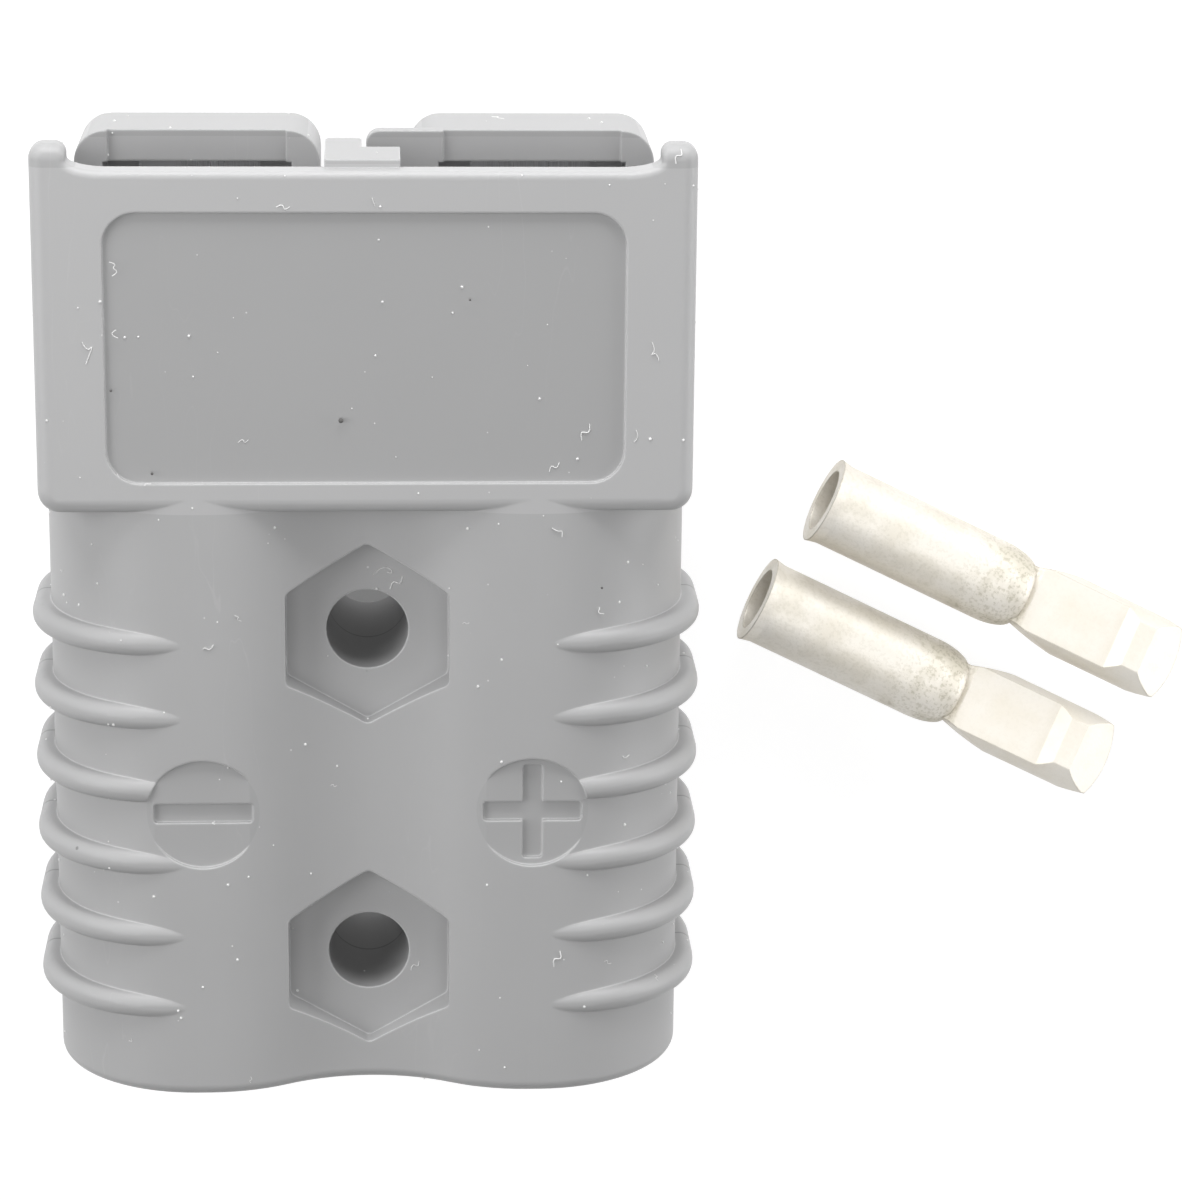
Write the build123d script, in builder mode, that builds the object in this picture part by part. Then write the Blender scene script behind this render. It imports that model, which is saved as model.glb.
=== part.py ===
from build123d import *
from math import atan, degrees, sin
import os

# Genderless two-pole power connector: one moulded housing, the two contacts that snap
# into it, and the two leaf springs that press on the contacts' blades.
# Millimetres. The origin lies midway between the two mounting holes, on the parting
# plane. +Y runs out of the mouth, +Z out of the label side, +X to the plus side.

# Body of the housing
body_width = 52.6
thickness = 27.7
rear_y = -25.1
saddle_depth = 3.4
crest_width = 1.1
shoulder_radius = 12.0
rear_edge_radius = 0.9

# Collar and hood around the mouth
collar_y = 25.15
lip_y = 52.93
mouth_floor_y = 37.5
hood_wall = 2.45
hood_side_wall = 1.8
hood_split_gap = 0.25
collar_corner_radius = 1.8
collar_edge_radius = 1.2
lip_edge_radius = 0.55

# Corner ears of the lip
ear_rise = 2.1
ear_width = 2.9
ear_round = 1.2
ear_inner_round = 0.9
ear_scoop_width = 3.2
ear_scoop_height = 0.85

# Label recess on the collar
label_width = 41.4
label_height = 22.0
label_y = 38.7
label_radius = 2.7
label_depth = 0.4

# Mounting holes and their nut pockets
hole_spacing = 28.2
hole_radius = 3.37
nut_flats = 13.35
nut_depth = 1.6
nut_corner_radius = 0.7

# Grip ribs
rib_count = 6
rib_pitch = 6.28
rib_middle_y = -1.56
rib_thickness = 2.1
rib_proud = 1.5
rib_straight = 2.1
rib_bend_radius = 11.3
rib_sink = 0.03
rib_round = 0.95

# Polarity rounds
mark_x = 13.5
mark_y = -0.3
mark_radius = 4.65
mark_depth = 0.45
sign_length = 8.1
sign_width = 1.65
sign_corner_radius = 0.3
sign_depth = 0.4

# Tongues that carry the blades
tongue_tip_y = 53.8
tongue_side_gap = 2.6
tongue_inner_x = 3.7
tongue_back_gap = 0.5
tongue_face_gap = 0.35
tongue_corner_radius = 2.6
tongue_back_radius = 1.9
tip_bar = 2.6
blade_recess_margin = 2.72
blade_recess_depth = 0.5

# Polarising key, and the hook that fits beside the mating half's key
key_left_x = -3.2
key_step_x = -0.27
key_right_x = 2.8
key_long_z = 2.0
key_short_z = 6.1
key_tip_y = 53.6
key_radius = 0.6
key_sink = 0.6
hook_end_x = 0.1
hook_thickness = 1.4
hook_radius = 1.1

# Contacts
barrel_radius = 3.65
barrel_bore_radius = 2.75
barrel_length = 19.6
barrel_bore_depth = 15.0
barrel_flare = 0.2
flare_length = 1.0
dome_length = 3.2
neck_radius = 2.55
root_dip = 0.35
root_ramp = 0.5
root_half_width = 2.65
swell_length = 4.2
blade_width = 7.2
tip_width = 6.6
blade_flat_length = 8.8
blade_thickness = 2.2
ridge_slope_length = 1.2
ridge_height = 0.8
ridge_land_length = 1.6
nose_length = 2.7
nose_tip_height = 0.6
nose_bulge = 0.85

# Where the loose contacts lie beside the housing
contact_turn = -26.2
contact_roll = -17.0
first_contact_x = 39.6
first_contact_y = 19.91
second_contact_x = 34.0
second_contact_y = 11.01

# Seats of the contacts and the cables
contact_clearance = 0.3
cable_entry_radius = 7.5
cable_entry_depth = 38.0
entry_chamfer = 0.8
blade_pocket_margin = 0.42
chamber_stop = 2.3

# Leaf springs under the blades
spring_width = 10.0
spring_thickness = 0.5
spring_clearance = 0.2
spring_foot_length = 3.6
spring_tail_length = 3.4
spring_crown_offset = 4.0
spring_rise = 2.7
blade_gap = 0.1

# Worked-out sizes
half_width = body_width / 2
half_thickness = thickness / 2
crest_start = half_width - shoulder_radius - crest_width
saddle_angle = 2 * atan(saddle_depth / crest_start)
saddle_radius = crest_start / (2 * sin(saddle_angle))
saddle_z = half_thickness - saddle_depth
hood_roof_z = half_thickness - hood_wall
hood_inner_x = half_width - hood_side_wall
ear_top_y = lip_y + ear_rise
ear_inner_x = half_width - ear_width
tongue_back_z = tongue_back_gap - hood_roof_z
tongue_face_z = -tongue_face_gap
tongue_outer_x = half_width - tongue_side_gap
tongue_width = tongue_outer_x - tongue_inner_x
pole_x = (tongue_inner_x + tongue_outer_x) / 2
blade_recess_width = tongue_width - 2 * blade_recess_margin
pocket_end_y = tongue_tip_y - tip_bar
pocket_width = blade_recess_width + 2 * blade_pocket_margin
spring_top_z = -blade_thickness - blade_gap
pocket_floor_z = spring_top_z - spring_rise - spring_thickness
rib_top_z = half_thickness - rib_sink
rib_outer_x = half_width + rib_proud
rib_bend_x = rib_outer_x - rib_bend_radius
rib_inner_x = rib_bend_x - rib_straight
chamber_radius = barrel_radius + contact_clearance
window_width = blade_width + 2 * contact_clearance
window_depth = blade_thickness + ridge_height + contact_clearance
spring_slot_width = spring_width + 2 * spring_clearance
spring_front_y = pocket_end_y - spring_clearance
spring_back_y = mouth_floor_y - spring_tail_length
slope_x = barrel_length + blade_flat_length
land_x = slope_x + ridge_slope_length
nose_x = land_x + ridge_land_length
blade_tip_x = nose_x + nose_length
reach = 1.0


def lobed_quarter():
    """Quarter of the body's section, from the saddle round to the side."""
    saddle = JernArc((0, saddle_z), (1, 0), saddle_radius, degrees(saddle_angle))
    brow = JernArc(saddle @ 1, saddle % 1, saddle_radius, -degrees(saddle_angle))
    crest = Line(brow @ 1, (half_width - shoulder_radius, half_thickness))
    shoulder = JernArc(crest @ 1, (1, 0), shoulder_radius, -90)
    Line(shoulder @ 1, (half_width, 0))


def lip_outline():
    """Plus side of the lip's front outline, from the middle over the scoop to the ear's top."""
    scoop_middle = (ear_inner_x - ear_scoop_width, lip_y + ear_scoop_height)
    scoop = EllipticalCenterArc(
        scoop_middle, ear_scoop_width, ear_scoop_height, start_angle=-90, arc_size=90
    )
    post = Line(scoop @ 1, (ear_inner_x, ear_top_y - ear_inner_round))
    brow = JernArc(post @ 1, (0, 1), ear_inner_round, -90)
    top = Line(brow @ 1, (half_width - ear_round, ear_top_y))
    Line(top @ 1, (half_width - ear_round, ear_top_y + reach))
    Line((half_width - ear_round, ear_top_y + reach), (0, ear_top_y + reach))
    Line((0, lip_y), scoop @ 0)


# Collar block, rounded all over before the lip is cut down between its ears
with BuildPart() as collar:
    with BuildSketch(Plane.XY.offset(-half_thickness)) as collar_front:
        with Locations((0, collar_y)):
            Rectangle(body_width, ear_top_y - collar_y, align=(Align.CENTER, Align.MIN))
        fillet(collar_front.vertices().group_by(Axis.Y)[-1], ear_round)
        fillet(collar_front.vertices().group_by(Axis.Y)[0], collar_corner_radius)
    extrude(amount=thickness)
    fillet(collar.faces().sort_by(Axis.Z)[-1].edges(), collar_edge_radius)
    fillet(collar.faces().sort_by(Axis.Z)[0].edges(), collar_edge_radius)
    with BuildSketch(Plane.XY.offset(-half_thickness)):
        with BuildLine():
            lip_outline()
            mirror(about=Plane.YZ)
        make_face()
    extrude(amount=thickness, mode=Mode.SUBTRACT)
    cut_edges = collar.edges().filter_by(lambda edge: edge.center().Y > lip_y - rib_sink)
    lip_edges = cut_edges.filter_by(lambda edge: abs(edge.center().X) < ear_inner_x + rib_sink)
    fillet(lip_edges.group_by(Axis.Z)[-1] + lip_edges.group_by(Axis.Z)[0], lip_edge_radius)

    # The hood covers the front half only, so that the mating hood can pass behind
    with BuildSketch(Plane.XY.offset(hood_split_gap)):
        with Locations((0, mouth_floor_y)):
            Rectangle(2 * body_width, body_width, align=(Align.CENTER, Align.MIN))
    extrude(amount=-thickness, mode=Mode.SUBTRACT)

    # Mouth, and the side walls that stop at the lip
    with BuildSketch(Plane.XY.offset(hood_roof_z)):
        with Locations((0, mouth_floor_y)):
            Rectangle(2 * hood_inner_x, body_width, align=(Align.CENTER, Align.MIN))
        with Locations((0, lip_y)):
            Rectangle(2 * body_width, body_width, align=(Align.CENTER, Align.MIN))
    extrude(amount=-thickness, mode=Mode.SUBTRACT)


# One grip rib: a half-round bead that runs round a lobe and dies out at its crests
with BuildPart() as rib:
    with BuildSketch(Plane.XZ.offset(-rib_thickness / 2)):
        with BuildLine():
            top = Line((rib_inner_x, rib_top_z), (rib_bend_x, rib_top_z))
            bend = JernArc(top @ 1, (1, 0), rib_bend_radius, -90)
            Line(bend @ 1, (rib_outer_x, 0))
            Line(top @ 0, (rib_inner_x, 0))
            mirror(about=Plane.XZ)
        make_face()
    extrude(amount=rib_thickness)
    beads = rib.faces().sort_by(Axis.Y)[0].edges() + rib.faces().sort_by(Axis.Y)[-1].edges()
    fillet(beads.filter_by(lambda edge: edge.center().X > rib_inner_x + rib_sink), rib_round)


# One tongue, plus side, rounded at the tip and the back
with BuildPart() as tongue:
    with BuildSketch(Plane.XY.offset(tongue_back_z)) as tongue_front:
        with Locations((pole_x, mouth_floor_y - reach)):
            Rectangle(tongue_width, tongue_tip_y - mouth_floor_y + reach, align=(Align.CENTER, Align.MIN))
        fillet(tongue_front.vertices().group_by(Axis.Y)[-1], tongue_corner_radius)
    extrude(amount=tongue_face_z - tongue_back_z)
    back_rim = tongue.faces().sort_by(Axis.Z)[0].edges()
    root_y = mouth_floor_y - reach
    fillet(back_rim.filter_by(lambda edge: edge.center().Y > root_y + rib_sink), tongue_back_radius)


# Housing: lobed body, collar, ribs, tongues and key, then every hollow
with BuildPart() as housing:
    with BuildSketch(Plane.XZ.offset(-mouth_floor_y)):
        with BuildLine():
            lobed_quarter()
            mirror(about=Plane.XZ)
            mirror(about=Plane.YZ)
        make_face()
    extrude(amount=mouth_floor_y - rear_y)
    fillet(housing.faces().sort_by(Axis.Y)[0].edges(), rear_edge_radius)
    add(collar.part)
    for number in range(rib_count):
        rib_y = rib_middle_y + (number - (rib_count - 1) / 2) * rib_pitch
        with Locations((0, rib_y, 0)):
            add(rib.part)
            add(mirror(rib.part, about=Plane.YZ, mode=Mode.PRIVATE))
    add(tongue.part)
    add(mirror(tongue.part, about=Plane.YZ, mode=Mode.PRIVATE))

    # Polarising key, hung from the hood's roof
    with BuildSketch(Plane.XZ.offset(-key_tip_y)) as key_section:
        with BuildLine():
            Polyline(
                (key_left_x, hood_roof_z + key_sink),
                (key_left_x, key_long_z),
                (key_step_x, key_long_z),
                (key_step_x, key_short_z),
                (key_right_x, key_short_z),
                (key_right_x, hood_roof_z + key_sink),
                close=True,
            )
        make_face()
        fillet(key_section.vertices().group_by(Axis.Y)[0], key_radius)
    extrude(amount=key_tip_y - mouth_floor_y + reach)

    # Hook on the plus tongue, which fills the room under the short half of the key
    with BuildSketch(Plane.XY.offset(tongue_face_z - hook_thickness)) as hook:
        with Locations((hook_end_x, mouth_floor_y - reach)):
            Rectangle(
                tongue_inner_x + tongue_corner_radius - hook_end_x,
                tongue_tip_y - mouth_floor_y + reach,
                align=(Align.MIN, Align.MIN),
            )
        fillet(hook.vertices().group_by(Axis.Y)[-1].sort_by(Axis.X)[0], hook_radius)
    extrude(amount=hook_thickness)

    # Shallow recess for each blade, and behind the tip bar the deeper blade pocket
    with BuildSketch(Plane.XY.offset(tongue_face_z)):
        with Locations((-pole_x, mouth_floor_y), (pole_x, mouth_floor_y)):
            Rectangle(blade_recess_width, body_width, align=(Align.CENTER, Align.MIN))
    extrude(amount=-blade_recess_depth, mode=Mode.SUBTRACT)
    with BuildSketch(Plane.XY.offset(tongue_face_z)):
        with Locations((-pole_x, mouth_floor_y), (pole_x, mouth_floor_y)):
            Rectangle(pocket_width, pocket_end_y - mouth_floor_y, align=(Align.CENTER, Align.MIN))
    extrude(amount=pocket_floor_z - tongue_face_z, mode=Mode.SUBTRACT)

    # Slot behind each pocket for the spring's tail
    with BuildSketch(Plane.XY.offset(pocket_floor_z)):
        with Locations((-pole_x, mouth_floor_y + reach), (pole_x, mouth_floor_y + reach)):
            Rectangle(spring_slot_width, spring_tail_length + reach, align=(Align.CENTER, Align.MAX))
    extrude(amount=spring_thickness + spring_clearance, mode=Mode.SUBTRACT)

    # Cable entries from the rear, each with a narrower chamber for the contact's barrel
    # and a window through which only the blade reaches the mouth
    with BuildSketch(Plane.XZ.offset(-rear_y)):
        with Locations((-pole_x, 0), (pole_x, 0)):
            Circle(cable_entry_radius)
    extrude(amount=-cable_entry_depth, mode=Mode.SUBTRACT)
    with BuildSketch(Plane.XZ.offset(-rear_y)):
        with Locations((-pole_x, 0), (pole_x, 0)):
            Circle(chamber_radius)
    extrude(amount=rear_y - mouth_floor_y + chamber_stop, mode=Mode.SUBTRACT)
    with BuildSketch(Plane.XZ.offset(-rear_y)):
        with Locations((-pole_x, contact_clearance), (pole_x, contact_clearance)):
            Rectangle(window_width, window_depth, align=(Align.CENTER, Align.MAX))
    extrude(amount=rear_y - mouth_floor_y - reach, mode=Mode.SUBTRACT)
    entry_rims = housing.edges().filter_by(GeomType.CIRCLE).group_by(Axis.Y)[0]
    chamfer(entry_rims, entry_chamfer)

    # Mounting holes with their nut pockets
    with BuildSketch(Plane.XY.offset(half_thickness)):
        with Locations((0, -hole_spacing / 2), (0, hole_spacing / 2)):
            Circle(hole_radius)
    extrude(amount=-thickness, mode=Mode.SUBTRACT)
    with BuildSketch(Plane.XY.offset(half_thickness)) as nut_pockets:
        with Locations((0, -hole_spacing / 2), (0, hole_spacing / 2)):
            RegularPolygon(nut_flats / 2, 6, major_radius=False, rotation=30)
        fillet(nut_pockets.vertices(), nut_corner_radius)
    extrude(amount=-saddle_depth - nut_depth, mode=Mode.SUBTRACT)

    # Label recess
    with BuildSketch(Plane.XY.offset(half_thickness)):
        with Locations((0, label_y)):
            RectangleRounded(label_width, label_height, label_radius)
    extrude(amount=-label_depth, mode=Mode.SUBTRACT)

    # Polarity rounds: minus at the left, plus at the right
    with BuildSketch(Plane.XY.offset(half_thickness)):
        with Locations((-mark_x, mark_y), (mark_x, mark_y)):
            Circle(mark_radius)
    extrude(amount=-mark_depth, mode=Mode.SUBTRACT)
    with BuildSketch(Plane.XY.offset(half_thickness)):
        with Locations((-mark_x, mark_y), (mark_x, mark_y)):
            RectangleRounded(sign_length, sign_width, sign_corner_radius)
        with Locations((mark_x, mark_y)):
            RectangleRounded(sign_width, sign_length, sign_corner_radius)
    extrude(amount=-mark_depth - sign_depth, mode=Mode.SUBTRACT)
housing.part.label = "housing"


def blade_at(seat):
    """Blade along the seat's x: flat below, round at the sides, its ridge and nose above."""
    root_x = barrel_length - dome_length
    end_x = blade_tip_x + nose_bulge
    side_plane = Plane(seat.origin, x_dir=seat.x_dir, z_dir=-seat.y_dir)
    root_height = blade_thickness - root_dip
    with BuildPart() as blade:
        with BuildSketch(side_plane):
            with BuildLine():
                Polyline(
                    (root_x, 0),
                    (end_x, 0),
                    (end_x, nose_tip_height),
                    (nose_x, blade_thickness + ridge_height),
                    (land_x, blade_thickness + ridge_height),
                    (slope_x, blade_thickness),
                    (barrel_length + root_ramp, blade_thickness),
                    (barrel_length, root_height),
                    (root_x, root_height),
                    close=True,
                )
            make_face()
        extrude(amount=blade_width, both=True)
        with BuildSketch(seat):
            with BuildLine():
                neck = Line((root_x, root_half_width), (barrel_length, root_half_width))
                swell_top = (barrel_length + swell_length, blade_width / 2)
                nose_corner = (blade_tip_x, tip_width / 2)
                edge = Spline(neck @ 1, swell_top, nose_corner)
                Line((root_x, -root_half_width), neck @ 0)
                mirror(neck, about=Plane.XZ)
                mirror(edge, about=Plane.XZ)
                ThreePointArc(nose_corner, (end_x, 0), (blade_tip_x, -tip_width / 2))
            make_face()
        extrude(amount=barrel_radius, mode=Mode.INTERSECT)
        with BuildSketch(Plane(seat.origin, x_dir=seat.y_dir, z_dir=seat.x_dir)):
            Circle(barrel_radius)
        extrude(amount=end_x + reach, mode=Mode.INTERSECT)
    return blade


def contact_at(seat, name):
    """Crimp contact whose barrel lies along the seat's x, with its blade in line."""
    blade = blade_at(seat)
    with BuildPart() as contact:
        with BuildSketch(seat):
            with BuildLine():
                dome_x = barrel_length - dome_length
                mouth = Line((0, barrel_bore_radius), (0, barrel_radius + barrel_flare))
                bell = Line(mouth @ 1, (flare_length, barrel_radius))
                Line(bell @ 1, (dome_x, barrel_radius))
                dome_height = barrel_radius - neck_radius
                EllipticalCenterArc(
                    (dome_x, neck_radius), dome_length, dome_height, start_angle=0, arc_size=90
                )
                Line((barrel_length, neck_radius), (barrel_length, 0))
                floor = Line((barrel_length, 0), (barrel_bore_depth, 0))
                bore_end = Line(floor @ 1, (barrel_bore_depth, barrel_bore_radius))
                Line(bore_end @ 1, mouth @ 0)
            make_face()
        revolve(axis=Axis(seat.origin, seat.x_dir))
        add(blade.part)
    contact.part.label = name
    return contact


def spring_at(x, name):
    """Leaf spring in one blade pocket: a tail in its slot, a bowed crown and a flat foot."""
    foot_z = pocket_floor_z + spring_thickness / 2
    crown_z = foot_z + spring_rise
    bow_start = (mouth_floor_y + spring_clearance, foot_z)
    bow_top = (mouth_floor_y + spring_crown_offset, crown_z)
    bow_end = (spring_front_y - spring_foot_length, foot_z)
    with BuildPart() as spring:
        with BuildSketch(Plane.YZ.offset(x - spring_width / 2)):
            with BuildLine() as strip:
                Line((spring_back_y, foot_z), bow_start)
                Spline(bow_start, bow_top, bow_end, tangents=[(1, 0), (1, 0)])
                Line(bow_end, (spring_front_y, foot_z))
            trace(line_width=spring_thickness)
        extrude(amount=spring_width)
    spring.part.label = name
    return spring


# The contacts lie on the surface that the housing lies on, a little rolled on their barrels
lying_z = barrel_radius + barrel_flare - half_thickness
lying_x_dir = Vector(1, 0, 0).rotate(Axis.Z, contact_turn)
lying_up = Vector(0, 0, 1).rotate(Axis((0, 0, 0), lying_x_dir), contact_roll)
first_seat = Plane((first_contact_x, first_contact_y, lying_z), x_dir=lying_x_dir, z_dir=lying_up)
second_seat = Plane((second_contact_x, second_contact_y, lying_z), x_dir=lying_x_dir, z_dir=lying_up)
first_contact = contact_at(first_seat, "first_contact")
second_contact = contact_at(second_seat, "second_contact")
minus_spring = spring_at(-pole_x, "minus_spring")
plus_spring = spring_at(pole_x, "plus_spring")

os.makedirs("parts", exist_ok=True)
export_step(housing.part, "parts/housing.step")
export_step(first_contact.part, "parts/first_contact.step")
export_step(second_contact.part, "parts/second_contact.step")
export_step(minus_spring.part, "parts/minus_spring.step")
export_step(plus_spring.part, "parts/plus_spring.step")
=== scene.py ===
import math

import bmesh
import bpy
from bpy.props import FloatProperty, FloatVectorProperty, IntProperty, PointerProperty
from mathutils import Matrix, Vector


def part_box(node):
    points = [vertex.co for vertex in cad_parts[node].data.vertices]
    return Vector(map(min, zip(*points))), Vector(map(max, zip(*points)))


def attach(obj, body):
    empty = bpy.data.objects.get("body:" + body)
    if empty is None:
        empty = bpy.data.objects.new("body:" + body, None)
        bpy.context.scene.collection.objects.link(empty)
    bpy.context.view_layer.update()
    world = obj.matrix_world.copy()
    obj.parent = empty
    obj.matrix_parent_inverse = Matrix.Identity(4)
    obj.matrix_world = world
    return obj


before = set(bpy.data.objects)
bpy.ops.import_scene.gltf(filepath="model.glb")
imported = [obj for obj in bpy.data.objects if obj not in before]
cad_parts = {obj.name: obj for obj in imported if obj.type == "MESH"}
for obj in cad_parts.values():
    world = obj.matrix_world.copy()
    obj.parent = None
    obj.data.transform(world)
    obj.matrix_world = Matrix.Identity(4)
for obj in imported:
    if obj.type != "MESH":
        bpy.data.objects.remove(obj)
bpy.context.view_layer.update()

bl_info = {
    "name": "Genderless power connector",
    "version": (1, 0, 0),
    "blender": (4, 5, 0),
    "location": "3D View > Sidebar > Connector",
    "description": "Finishes the moulded housing, its contacts and springs, and lays them on a white table",
    "category": "Object",
}

MM = 0.001
TABLE_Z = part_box("housing")[0].z
FACE_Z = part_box("housing")[1].z
POCKET_Z = FACE_Z - 5.0 * MM
CONTACTS = ("first_contact", "second_contact")
SPRINGS = ("minus_spring", "plus_spring")

# Zones of the housing that have their own tone: the centre, and half the size each way
PANEL_CENTRE = (0.0, 38.7 * MM, 13.45 * MM)
PANEL_HALF = (20.65 * MM, 10.95 * MM, 0.06 * MM)
# The collar is painted paler than the body, as painted light that is stronger towards the mouth
COLLAR_CENTRE = (0.0, 39.2 * MM, 0.0)
COLLAR_HALF = (40 * MM, 14.05 * MM, 20 * MM)
# The pole marks are painted darker, as painted shade in their round recesses
MARK_X = 13.5 * MM
MARK_Y = -0.3 * MM
MARK_RADIUS = 4.6 * MM

# Parting line: half the width of its dark core, and how far it fades
SEAM_CORE = 0.05 * MM
SEAM_EDGE = 0.2 * MM

# Tarnish along a contact, from its middle: where it starts, is full, starts to wane and ends
TARNISH_RUN = (-7.5 * MM, 0.2 * MM, 2.6 * MM, 3.8 * MM)

# How much of the plate's red, green and blue is left where it has warmed
WARM_SHARES = (0.96, 0.92, 0.84)

# Faces whose normal points down more than this gather no lint
UNDERSIDE = -0.3

# Loose fibres: the height of the face that each lies on, and its points in mm from end to end
STRANDS = (
    (POCKET_Z, ((0.49, 18.68), (0.98, 19.19), (1.55, 19.36), (1.96, 19.19), (2.12, 18.76), (1.63, 18.93))),
    (FACE_Z, ((-22.38, 39.35), (-22.00, 38.54), (-21.52, 39.11), (-21.85, 38.22), (-22.11, 37.57))),
    (FACE_Z, ((22.76, 39.29), (23.09, 38.64), (22.62, 38.15), (23.17, 38.48), (23.35, 37.74))),
    (FACE_Z, ((-20.11, 45.78), (-19.49, 45.62), (-19.89, 45.30), (-19.34, 44.98), (-19.90, 44.66))),
    (FACE_Z, ((-19.68, 40.32), (-20.40, 39.99), (-19.54, 39.67))),
    (FACE_Z, ((14.91, 23.97), (15.40, 23.64), (15.80, 23.80), (15.72, 23.22))),
    (FACE_Z, ((0.56, 50.89), (0.79, 50.25))),
    (FACE_Z, ((21.58, 32.08), (21.91, 31.51), (21.44, 31.09))),
)

# Dark grit on the flat faces: radius and place in mm
GRIT = (
    (0.20, -2.00, 32.88),
    (0.11, -20.19, 35.37),
    (0.12, -17.08, 28.57),
    (0.09, 8.27, 42.71),
    (0.10, 19.00, 18.92),
)

# Table: half its size in metres, and its diffuse white for the light it gives back and to look at
TABLE_REACH = 1.5
TABLE_LIT = (0.8, 0.8, 0.8)
TABLE_SEEN = (0.3, 0.3, 0.3)

# Table's glow: to look at, and under the housing, where it is painted light for the housing's holes and a
# painted shadow to look at
TABLE_GLOW = 0.86
HOLE_PAINTED_LIGHT = 0.62
UNDER_PAINTED_SHADOW = 0.12

# Distances from the middle over which the painted light and shadow under the housing turn into the open
# table's glow
FOOTPRINT_X = (16 * MM, 24 * MM)
FOOTPRINT_Y = (21 * MM, 25 * MM)

# Softboxes: name, power setting, size, place and target in metres
LAMPS = (
    ("key_softbox", "key_power", (0.5, 0.2), (0.0, 0.40, 0.10), (0.0, 0.02, 0.0)),
    ("overhead_softbox", "fill_power", (0.5, 0.4), (0.0, 0.05, 0.6), (0.0, 0.0, 0.0)),
    ("left_softbox", "left_power", (0.4, 0.3), (-0.36, 0.1, 0.27), (0.0, 0.0, 0.0)),
    ("right_softbox", "right_power", (0.4, 0.2), (0.42, 0.05, 0.09), (0.0, 0.0, 0.0)),
)
CAMERA_PLACE = (0.5975 * MM, 110.03 * MM, 330.0 * MM)
CAMERA_TURN = (-0.2837, -0.0545, 0.0109)
SENSOR_WIDTH = 36.0


class HousingFinish(bpy.types.PropertyGroup):
    """Colour and surface of the moulded housing."""

    grey: FloatVectorProperty(
        name="Plastic grey", description="Colour of the moulding", subtype="COLOR",
        default=(0.425, 0.425, 0.428), min=0.0, max=1.0, size=3)
    panel_shade: FloatProperty(
        name="Panel shade", description="How much darker the smooth label panel is",
        default=0.86, min=0.5, max=1.0, subtype="FACTOR")
    # Painted light: the collar is painted paler than the body, as the light is stronger towards the mouth
    collar_painted_light: FloatProperty(
        name="Collar tone", description="How much paler the collar is than the body",
        default=1.09, min=0.8, max=1.3, subtype="FACTOR")
    grain: FloatProperty(
        name="Grain size", description="Width of one grain of the satin mould texture",
        default=0.16 * MM, min=0.02 * MM, max=2 * MM, unit="LENGTH", precision=6)
    edge_radius: FloatProperty(
        name="Edge softness", description="Radius that the light sees on the crisp moulded edges",
        default=0.26 * MM, min=0.0, max=1 * MM, unit="LENGTH", precision=6)


class PlatingFinish(bpy.types.PropertyGroup):
    """Colour and surface of the plated contacts."""

    silver: FloatVectorProperty(
        name="Plating", description="Colour of the creamy silver plate", subtype="COLOR",
        default=(0.80, 0.778, 0.735), min=0.0, max=1.0, size=3)
    tarnish: FloatVectorProperty(
        name="Tarnish", description="Colour of the speckle round the shoulder", subtype="COLOR",
        default=(0.46, 0.43, 0.34), min=0.0, max=1.0, size=3)
    turn: FloatProperty(
        name="Turn", description="Direction in which the loose contacts point",
        default=math.radians(-26.2), subtype="ANGLE")


class LintFinish(bpy.types.PropertyGroup):
    """Fibres and specks of dust on the housing."""

    seed: IntProperty(name="Seed", description="Fixed seed of the scatter", default=7, min=0)
    fibres_per_area: FloatProperty(
        name="Fibres", description="Fibres on each square metre of housing",
        default=3800.0, min=0.0)
    specks_per_area: FloatProperty(
        name="Specks", description="Specks on each square metre of housing",
        default=26000.0, min=0.0)
    fibre_length: FloatProperty(
        name="Fibre length", description="Length of a common fibre",
        default=1.0 * MM, min=0.1 * MM, max=5 * MM, unit="LENGTH", precision=6)
    fibre_width: FloatProperty(
        name="Fibre width", description="Thickness of a fibre",
        default=0.07 * MM, min=0.005 * MM, max=0.5 * MM, unit="LENGTH", precision=6)
    speck_size: FloatProperty(
        name="Speck size", description="Radius of a common speck",
        default=0.11 * MM, min=0.01 * MM, max=0.5 * MM, unit="LENGTH", precision=6)


class StageSetup(bpy.types.PropertyGroup):
    """Table, lights and camera."""

    key_power: FloatProperty(
        name="Key light", description="Power of the softbox beyond the mouth",
        default=1.7, min=0.0, unit="POWER")
    fill_power: FloatProperty(
        name="Overhead light", description="Power of the softbox overhead",
        default=1.05, min=0.0, unit="POWER")
    left_power: FloatProperty(
        name="Left light", description="Power of the softbox at the left, above the housing",
        default=1.15, min=0.0, unit="POWER")
    right_power: FloatProperty(
        name="Right light", description="Power of the softbox at the right, near the table",
        default=0.85, min=0.0, unit="POWER")
    ambient: FloatProperty(
        name="Ambient", description="Even light of the white room",
        default=0.08, min=0.0, max=1.0, subtype="FACTOR")
    lens: FloatProperty(
        name="Lens", description="Focal length on a 36 mm sensor", default=122.07, min=20.0, max=400.0)


def new_group(name, inputs, outputs):
    """Empty shader node group with its named sockets."""
    group = bpy.data.node_groups.new(name, "ShaderNodeTree")
    for label, kind, value in inputs:
        socket = group.interface.new_socket(label, in_out="INPUT", socket_type=kind)
        if value is not None:
            socket.default_value = value
    for label, kind in outputs:
        group.interface.new_socket(label, in_out="OUTPUT", socket_type=kind)
    enter = group.nodes.new("NodeGroupInput")
    leave = group.nodes.new("NodeGroupOutput")
    return group, enter, leave


def feed(tree, socket, value):
    """Give a socket a number, or link another socket to it."""
    if isinstance(value, (int, float)):
        socket.default_value = value
    else:
        tree.links.new(value, socket)


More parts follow.
